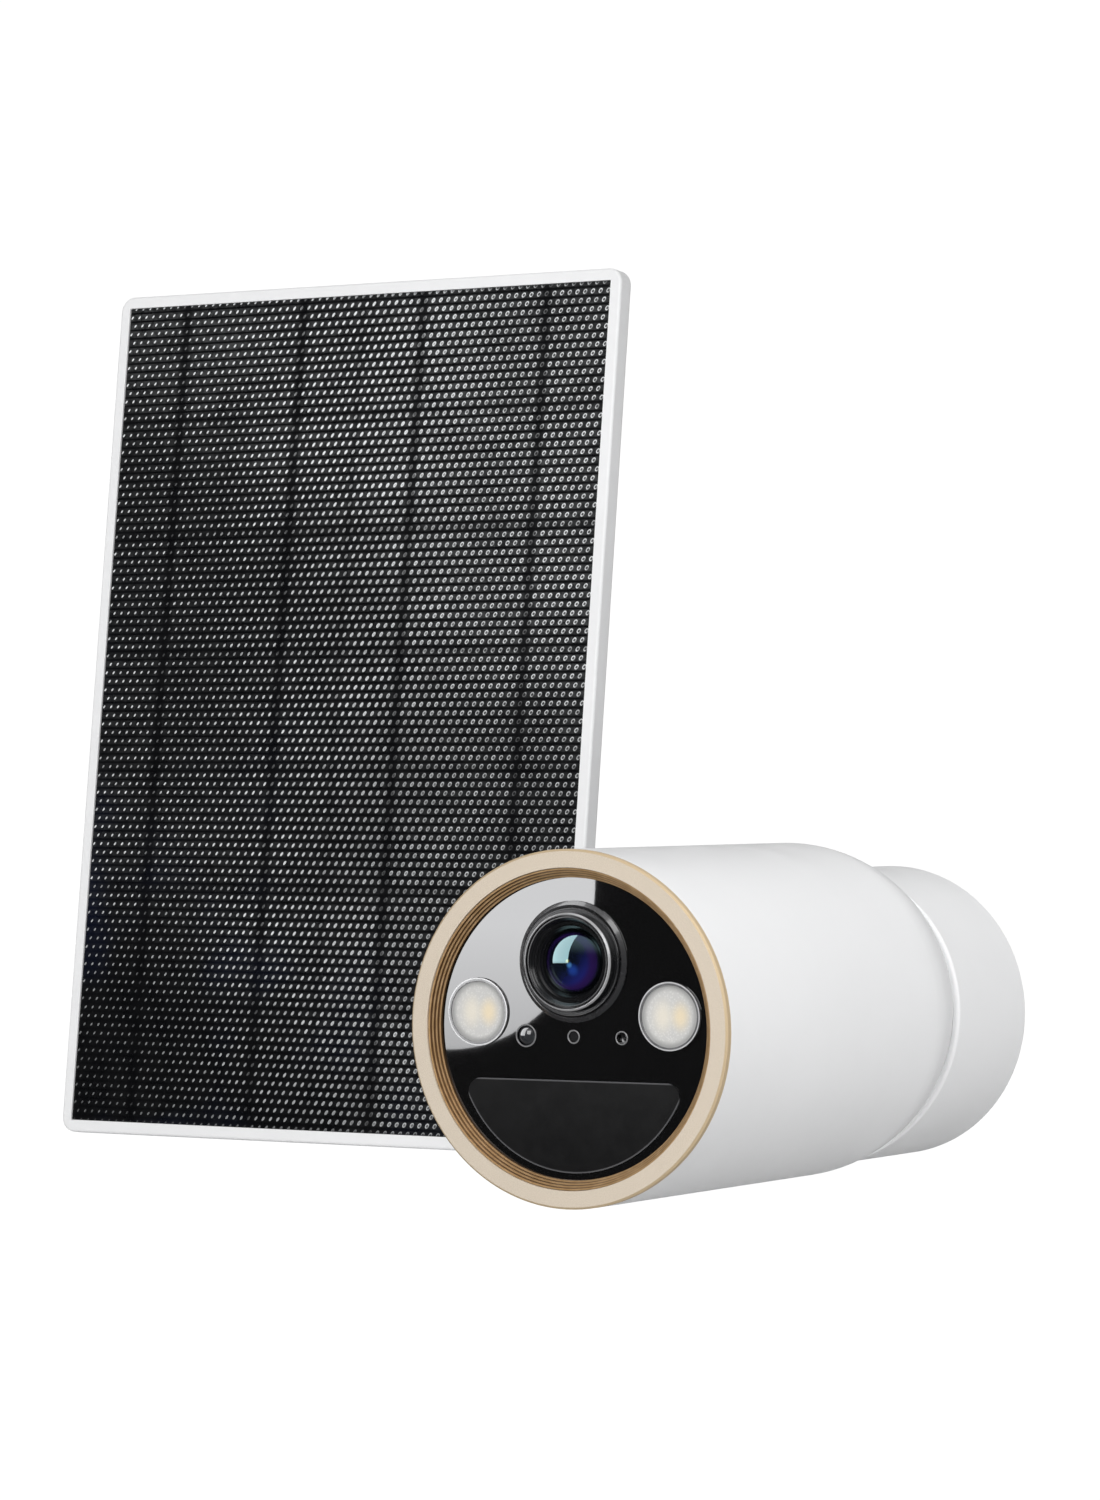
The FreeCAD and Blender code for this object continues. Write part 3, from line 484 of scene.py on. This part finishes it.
def film_dot_glints(made, x, fu, fv):
    """One slanted dot per cell, opening to a ring towards the right: the mask of its painted glint, and
    its height.
    """
    lean = math.radians(DOT_LEAN_DEG)
    p = made.add(made.times(fu, math.cos(lean)), made.times(fv, math.sin(lean)))
    q = made.less(made.times(fv, math.cos(lean)), made.times(fu, math.sin(lean)))
    curl = made.times(made.span(x, -18.0, 42.0), 0.95)
    size = made.span(x, -58.0, 12.0, 0.66, 1.0)
    wide = made.times(size, made.span(curl, 0.0, 0.95, 0.15, 0.22))
    tall = made.times(size, 0.30)
    q = made.over(q, wide)
    away = made.length(made.over(p, tall), q)
    blob = made.line(away, 0.85, 1.15)
    hollow = made.times(made.line(away, 0.45, 0.85), curl)
    mouth = made.times(made.line(q, -1.1, -0.1), made.times(curl, 0.75))
    keep = made.times(made.less(1.0, hollow), made.less(1.0, mouth))
    return made.times(blob, keep), blob


def dark_stripes(made, value, period, offset, half, depth):
    """Soft dark stripes at offset, offset + period and so on."""
    turns = made.over(made.less(value, offset), period)
    off = made.apart(made.op("FRACT", made.add(turns, 0.5)), 0.5)
    return made.span(off, 0.25 * half / period, half / period, 1.0 - depth, 1.0)


def prismatic_sheet():
    """Clear film over near-black cells, embossed with staggered rows of small slanted lenses; the
    lenses' glints and the film's sheen are painted into its colour.
    """
    black = (0.006, 0.007, 0.010)
    made = Finish("embossed_solar_film", black, 0.3, specular=0.45, coat=0.35, coat_rough=0.12)
    points = made.on_panel()
    x, _, z = made.split(points)
    along = made.over(z, DOT_ROW_PITCH)
    row = made.op("FLOOR", along)
    stagger = made.times(made.op("FLOORED_MODULO", row, 2.0), 0.5)
    across = made.add(made.over(x, DOT_PITCH), stagger)
    column = made.op("FLOOR", across)
    luck = made.chance(made.join(column, row, 0.0))
    fu = made.less(made.less(across, column), 0.5)
    fv = made.less(made.less(along, row), 0.5)
    # painted glints: one pale slanted speck on each small lens
    speck_glint, blob = film_dot_glints(made, x, fu, fv)

    # how the light catches the film: strongest towards the upper right, faint at the lower left
    reach = made.add(made.times(x, 0.3 / SHEET_HALF_WIDTH), made.times(z, 0.7 / SHEET_HALF_HEIGHT))
    gain = made.add(made.span(reach, -0.95, -0.45, 0.0, 0.52), made.span(reach, 0.12, 0.5, 0.0, 0.48))
    clouds = made.drift(made.noise(0.035, 3.0, 0.6, vector=points), 0.72, 1.12)

    # the cells' dark bars, gaps and middle seam show through
    bar_pitch = 2 * SHEET_HALF_WIDTH / SHEET_BARS
    gap_pitch = 2 * SHEET_HALF_HEIGHT / SHEET_ROWS
    bars = dark_stripes(made, x, bar_pitch, bar_pitch / 2, 1.8, 0.8)
    gaps = dark_stripes(made, z, gap_pitch, gap_pitch / 2, 1.3, 0.45)
    seam = made.span(made.op("ABSOLUTE", x), 0.3, 1.1, 0.55, 1.0)
    shade = made.times(made.times(bars, gaps), made.times(seam, clouds))

    bright = made.span(gain, 0.0, 1.0, 0.18, 1.35, smooth=False)
    bright = made.times(bright, made.span(luck, 0.0, 1.0, 0.8, 1.15))
    strength = made.times(made.times(speck_glint, bright), shade)
    # painted sheen: a faint pale veil along each row's band, stronger where the light catches the film
    band = made.line(made.op("ABSOLUTE", fv), 0.32, 0.44)
    broken = made.span(made.noise(1.1, 2.0, vector=points), 0.35, 0.65, 0.45, 1.25)
    haze_sheen = made.times(made.span(gain, 0.2, 1.0, 0.004, 0.05), made.times(band, broken))
    strength = made.add(strength, made.times(haze_sheen, shade))

    # painted bluish sheen on the near-black film, strongest towards the lower left
    blue = made.span(made.noise(0.03, 2.0, vector=points), 0.45, 0.75)
    blue = made.times(blue, made.line(reach, -0.9, 0.1))
    dark = made.mix(blue, (0.0026, 0.0028, 0.0036), (0.003, 0.006, 0.021))
    made.wire("Base Color", made.mix(strength, dark, (0.80, 0.82, 0.83)))
    made.wire("Roughness", made.drift(made.noise(0.2, 3.0, vector=points), 0.26, 0.38))
    return made.bump(blob, 0.03, 0.4)


def circuit(name, color):
    """Solder mask with faint tracks under it."""
    made = Finish(name, color, 0.32, specular=0.5, coat=0.4, coat_rough=0.15)
    x, y, z = made.split(made.mm())
    tracks = made.op("SINE", made.times(made.add(x, y), 5.0))
    rows = made.op("SINE", made.times(z, 4.0))
    web = made.span(made.op("MAXIMUM", tracks, rows), 0.75, 0.95)
    made.wire("Base Color", made.mix(web, color, tuple(min(1.0, c * 1.7) for c in color)))
    made.uneven(0.26, 0.4, 0.5)
    return made.bump(web, 0.02, 0.4)


def dress_outside():
    fine = {"drift": 0.03, "grain": 2.4, "depth": 0.008}
    bracket_white = plain("white_bracket_plastic", (0.84, 0.845, 0.855), 0.44, **fine)
    dome = plain("smoked_sensor_dome", (0.03, 0.032, 0.035), 0.06, coat=1.0, grain=0.4, depth=0.003)
    rubber = plain("grey_rubber", (0.62, 0.625, 0.635), 0.7, grain=3.0, depth=0.02)
    wear(white_shell(), "barrel_housing", "base_shell", "port_cover")
    wear(white_frame(), "panel_frame", "panel_back", "junction_box", "panel_cradle")
    wear(bracket_white, "bracket_base", "bracket_knuckle", "tilt_knob")
    wear(champagne(), "front_ring")
    wear(bronze(), "stepped_ring")
    wear(gloss_black(), "front_window")
    wear(sensor_film(), "pir_window")
    wear(lens_metal(), "lens_hood", "lens_barrel")
    wear(coated_glass(), "lens_front_element")
    wear(inner_glass(), "lens_rear_element")
    wear(milky(), "spotlight_diffusers")
    wear(clear_rim(), "spotlight_bezels")
    wear(plain("lens_bezel_black", (0.03, 0.03, 0.032), 0.25, coat=0.7), "lens_bezel")
    wear(dome, "light_sensor")
    wear(plain("status_light_guide", (0.018, 0.018, 0.019), 0.2, coat=0.4), "status_light_guide")
    wear(plain("grey_button", (0.70, 0.705, 0.715), 0.45), "power_button", "base_plate")
    wear(rubber, "cable_outlet", "seat_ring")
    wear(prismatic_sheet(), "cover_sheet")


def dress_inside():
    mask = circuit("green_solder_mask", (0.02, 0.11, 0.05))
    drawn = brushed("drawn_steel", (0.56, 0.56, 0.57), 0.32, 1)
    turned = brushed("turned_steel", (0.52, 0.52, 0.53), 0.3, 0)
    cans = brushed("sensor_cans", (0.58, 0.58, 0.59), 0.3, 2)
    black_plastic = plain("black_abs", (0.022, 0.022, 0.024), 0.45)
    wear(black_plastic, "front_chassis", "port_tray", "card_slot", "battery_cradle")
    wear(plain("black_rubber", (0.02, 0.02, 0.02), 0.75), "front_seal", "reset_button")
    wear(mask, "front_board", "main_board", "sensor_board", "port_board", "panel_board")
    wear(circuit("white_solder_mask", (0.62, 0.62, 0.6)), "spotlight_boards")
    wear(plain("phosphor_yellow", (0.85, 0.62, 0.16), 0.4), "spotlight_leds")
    wear(drawn, "steel_disc", "usb_port", "speaker_mesh")
    wear(turned, "swivel_pin", "tilt_bolt", "base_lock_screw", "chassis_screws", "cradle_screws")
    wear(brushed("nickel_plate", (0.60, 0.58, 0.54), 0.24, 2), "base_magnet", "magnet_yoke")
    wear(cans, "pir_sensors", "processor_shield", "microphone")
    wear(plain("sensor_silicon", (0.03, 0.03, 0.05), 0.12, coat=0.8), "image_sensor")
    wear(plain("battery_sleeve", (0.06, 0.16, 0.30), 0.35, coat=0.3), "battery_cells")
    wear(plain("speaker_cone", (0.03, 0.03, 0.032), 0.6), "speaker")
    wear(plain("copper_foil", (0.58, 0.30, 0.14), 0.3, metal=0.9), "antenna")
    wear(plain("cell_silicon", (0.010, 0.011, 0.022), 0.2, coat=0.5), "solar_cells")
    wear(brushed("tinned_ribbon", (0.55, 0.55, 0.56), 0.35, 2), "cell_ribbons")


# ---------------------------------------------------------------- small pieces the CAD leaves plain
def mesh_object(name, shape):
    """Turns a bmesh into an object in the scene."""
    mesh = bpy.data.meshes.new(name)
    shape.to_mesh(mesh)
    shape.free()
    made = bpy.data.objects.new(name, mesh)
    bpy.context.scene.collection.objects.link(made)
    return made


def lathe(name, x, z, outline, steps=72):
    """A ring turned about an axis along Y. The outline is in millimetres: (radius, depth behind the
    window)."""
    shape = bmesh.new()
    rings = []
    for k in range(steps):
        a = 2 * math.pi * k / steps
        ring = []
        for r, back in outline:
            at = Vector((x + r * MM * math.cos(a), WINDOW_Y + back * MM, z + r * MM * math.sin(a)))
            ring.append(shape.verts.new(at))
        rings.append(ring)
    count = len(outline)
    for k in range(steps):
        here, there = rings[k], rings[(k + 1) % steps]
        for i in range(count):
            j = (i + 1) % count
            shape.faces.new((here[i], here[j], there[j], there[i]))
    bmesh.ops.recalc_face_normals(shape, faces=shape.faces)
    made = mesh_object(name, shape)
    made.data.polygons.foreach_set("use_smooth", [True] * len(made.data.polygons))
    return made


def rounded(r_in, r_out, front, back):
    """A ring section with a rounded front lip."""
    half = (r_out - r_in) / 2
    centre = (r_out + r_in) / 2
    lip = []
    for k in range(9):
        a = math.pi * k / 8
        lip.append((centre - half * math.cos(a), front + half * (1 - math.sin(a))))
    return [(r_in, back)] + lip + [(r_out, back)]


def add_rims():
    """Thin bright rims round the two small holes and the light sensor, seated on the window."""
    rim = plain("hole_rim", (0.20, 0.20, 0.205), 0.22, coat=0.8)
    spots = {
        "light_sensor_rim": (-HOLE_PITCH, 1.88, 2.16),
        "light_guide_rim": (0.0, 1.02, 1.3),
        "mic_hole_rim": (HOLE_PITCH, 1.02, 1.3),
    }
    small_z = middle("light_sensor").z
    for name, (x, r_in, r_out) in spots.items():
        made = lathe(name, x * MM, small_z, rounded(r_in, r_out, -0.13, 0.0))
        wear(rim, made)
        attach(made, "camera")


# ---------------------------------------------------------------- studio
def aim(direction):
    return direction.to_track_quat("-Z", "Y").to_euler()


def feed_ramp(ramp, values):
    """Sets a Map Range node's two input ends and two output ends."""
    for index, value in enumerate(values, start=1):
        ramp.inputs[index].default_value = value


def add_camera():
    data = bpy.data.cameras.new("view")
    data.sensor_width = SENSOR_WIDTH
    data.lens = VIEW_LENS
    data.clip_start = 0.02
    data.clip_end = 50.0
    made = bpy.data.objects.new("view", data)
    made.location = VIEW_FROM
    made.rotation_euler = aim(VIEW_ALONG)
    bpy.context.scene.collection.objects.link(made)
    bpy.context.scene.camera = made
    return made


def add_light(name, at, toward, size, power):
    data = bpy.data.lights.new(name, "AREA")
    data.shape = "RECTANGLE"
    data.size, data.size_y = size
    data.energy = power
    made = bpy.data.objects.new(name, data)
    made.location = at
    made.rotation_euler = aim(toward - at)
    made.visible_camera = False
    bpy.context.scene.collection.objects.link(made)
    return made


def add_card(camera):
    """A soft card to the front left, mirrored by the window and the lens. Its near edge is an arc."""
    mirror = Vector((camera.location.x, 2 * WINDOW_Y - camera.location.y, camera.location.z))
    grow = 1 + CARD_REACH / (mirror.y - WINDOW_Y)
    hub = Vector((FACE.x, WINDOW_Y, FACE.z))
    shape = bmesh.new()
    grid = []
    for i in range(CARD_COLUMNS + 1):
        t = i / CARD_COLUMNS
        a = math.radians(CARD_ARC_START_DEG + CARD_ARC_SWEEP_DEG * t)
        arc = Vector((CARD_ARC_X + CARD_ARC_R * math.cos(a), 0, CARD_ARC_Z + CARD_ARC_R * math.sin(a)))
        away = mirror + (hub + arc * MM - mirror) * grow - hub
        turn = math.radians(180 - 90 * t)
        line = []
        for k in range(CARD_ROWS + 1):
            far = CARD_SPREAD * (k / CARD_ROWS) ** 1.5
            pan = math.atan2(away.y, away.x) + far * math.cos(turn)
            lift = math.atan2(away.z, math.hypot(away.x, away.y)) + far * math.sin(turn)
            level = math.cos(lift)
            toward = Vector((level * math.cos(pan), level * math.sin(pan), math.sin(lift)))
            line.append(shape.verts.new(hub + away.length * toward))
        grid.append(line)
    for i in range(CARD_COLUMNS):
        for k in range(CARD_ROWS):
            shape.faces.new((grid[i][k], grid[i + 1][k], grid[i + 1][k + 1], grid[i][k + 1]))
    made = mesh_object("reflection_card", shape)
    start_z = mirror.z + (FACE.z - mirror.z) * grow
    made.data.materials.append(card_glow(start_z))
    made.visible_camera = False
    made.visible_diffuse = False
    made.visible_shadow = False
    lit = bpy.data.collections.new("mirrors_the_card")
    for name in CARD_MIRRORS:
        lit.objects.link(nodes[name])
    made.light_linking.receiver_collection = lit
    return made


def card_glow(middle_z):
    """White light that is dimmer below middle_z than above it."""
    glow = bpy.data.materials.new("card_glow")
    glow.use_nodes = True
    tree = glow.node_tree
    tree.nodes.clear()
    out = tree.nodes.new("ShaderNodeOutputMaterial")
    emit = tree.nodes.new("ShaderNodeEmission")
    emit.inputs["Color"].default_value = (0.98, 0.985, 1.0, 1.0)
    coord = tree.nodes.new("ShaderNodeTexCoord")
    parts = tree.nodes.new("ShaderNodeSeparateXYZ")
    fade = tree.nodes.new("ShaderNodeMapRange")
    ends = (middle_z - CARD_FADE_HALF, middle_z + CARD_FADE_HALF)
    feed_ramp(fade, ends + (CARD_LOW_GLOW, CARD_HIGH_GLOW))
    tree.links.new(coord.outputs["Object"], parts.inputs[0])
    tree.links.new(parts.outputs[2], fade.inputs[0])
    tree.links.new(fade.outputs[0], emit.inputs["Strength"])
    tree.links.new(emit.outputs[0], out.inputs[0])
    return glow


def add_floor(low):
    shape = bmesh.new()
    bmesh.ops.create_grid(shape, x_segments=4, y_segments=4, size=FLOOR_HALF)
    made = mesh_object("floor", shape)
    made.location = (0, 0, low.z - FLOOR_DROP)
    pale = bpy.data.materials.new("pale_floor")
    pale.use_nodes = True
    tree = pale.node_tree
    bsdf = tree.nodes["Principled BSDF"]
    bsdf.inputs["Base Color"].default_value = (0.8, 0.8, 0.8, 1.0)
    bsdf.inputs["Roughness"].default_value = 0.9
    bsdf.inputs["Specular IOR Level"].default_value = 0.1
    glow = tree.nodes.new("ShaderNodeEmission")
    glow.inputs["Strength"].default_value = FLOOR_GLOW
    path = tree.nodes.new("ShaderNodeLightPath")
    share = tree.nodes.new("ShaderNodeMath")
    share.operation = "MULTIPLY"
    share.inputs[1].default_value = FLOOR_GLOW_SHARE
    blend = tree.nodes.new("ShaderNodeMixShader")
    out = tree.nodes["Material Output"]
    tree.links.new(path.outputs["Is Camera Ray"], share.inputs[0])
    tree.links.new(share.outputs[0], blend.inputs[0])
    tree.links.new(bsdf.outputs[0], blend.inputs[1])
    tree.links.new(glow.outputs[0], blend.inputs[2])
    tree.links.new(blend.outputs[0], out.inputs[0])
    made.data.materials.append(pale)
    made.visible_glossy = False
    return made


def add_world():
    """White to the camera, a softer grey for the light it gives, and dim near the horizon in mirrors."""
    world = bpy.data.worlds.new("studio")
    bpy.context.scene.world = world
    world.use_nodes = True
    tree = world.node_tree
    tree.nodes.clear()
    out = tree.nodes.new("ShaderNodeOutputWorld")
    path = tree.nodes.new("ShaderNodeLightPath")

    def background(strength):
        made = tree.nodes.new("ShaderNodeBackground")
        made.inputs["Color"].default_value = (1.0, 1.0, 1.0, 1.0)
        made.inputs["Strength"].default_value = strength
        return made

    def choose(ray, otherwise, chosen):
        made = tree.nodes.new("ShaderNodeMixShader")
        tree.links.new(path.outputs[ray], made.inputs[0])
        tree.links.new(otherwise.outputs[0], made.inputs[1])
        tree.links.new(chosen.outputs[0], made.inputs[2])
        return made

    seen, given, mirrored = background(WORLD_SEEN), background(WORLD_GIVEN), background(1.0)
    coord = tree.nodes.new("ShaderNodeTexCoord")
    parts = tree.nodes.new("ShaderNodeSeparateXYZ")
    ramp = tree.nodes.new("ShaderNodeMapRange")
    ramp.interpolation_type = "SMOOTHSTEP"
    feed_ramp(ramp, WORLD_MIRROR_RAMP)
    tree.links.new(coord.outputs["Generated"], parts.inputs[0])
    tree.links.new(parts.outputs[2], ramp.inputs[0])
    tree.links.new(ramp.outputs[0], mirrored.inputs["Strength"])
    whole = choose("Is Camera Ray", choose("Is Glossy Ray", given, mirrored), seen)
    tree.links.new(whole.outputs[0], out.inputs[0])


def keep_off(light, names):
    """The light misses these nodes."""
    spared = bpy.data.collections.new(light.name + "_spares")
    for name in names:
        spared.objects.link(nodes[name])
    for entry in spared.collection_objects:
        entry.light_linking.link_state = "EXCLUDE"
    light.light_linking.receiver_collection = spared


def build_studio():
    low, high = cad_box
    target = (low + high) / 2
    barrel = middle("barrel_housing")
    camera = add_camera()
    add_world()
    add_floor(low)
    add_card(camera)
    key = add_light("key_softbox", target + Vector((0.25, -1.0, 0.45)), target, (0.7, 0.7), 7.4)
    side = add_light("side_softbox", barrel + Vector((0.41, -0.08, 0.28)), barrel, (0.34, 0.34), 1.15)
    add_light("top_softbox", target + Vector((0.1, 0.1, 0.95)), target, (0.8, 0.9), 0.5)
    back = add_light("back_softbox", target + Vector((-0.3, 1.0, 0.4)), target, (0.8, 0.6), 3.0)
    back.visible_glossy = False
    keep_off(key, ("lens_front_element", "front_window"))
    keep_off(side, ("lens_front_element", "front_window", "panel_frame"))
    bpy.context.scene.view_settings.view_transform = "Standard"
    bpy.context.scene.view_settings.look = "None"


dress_outside()
dress_inside()
add_rims()
build_studio()
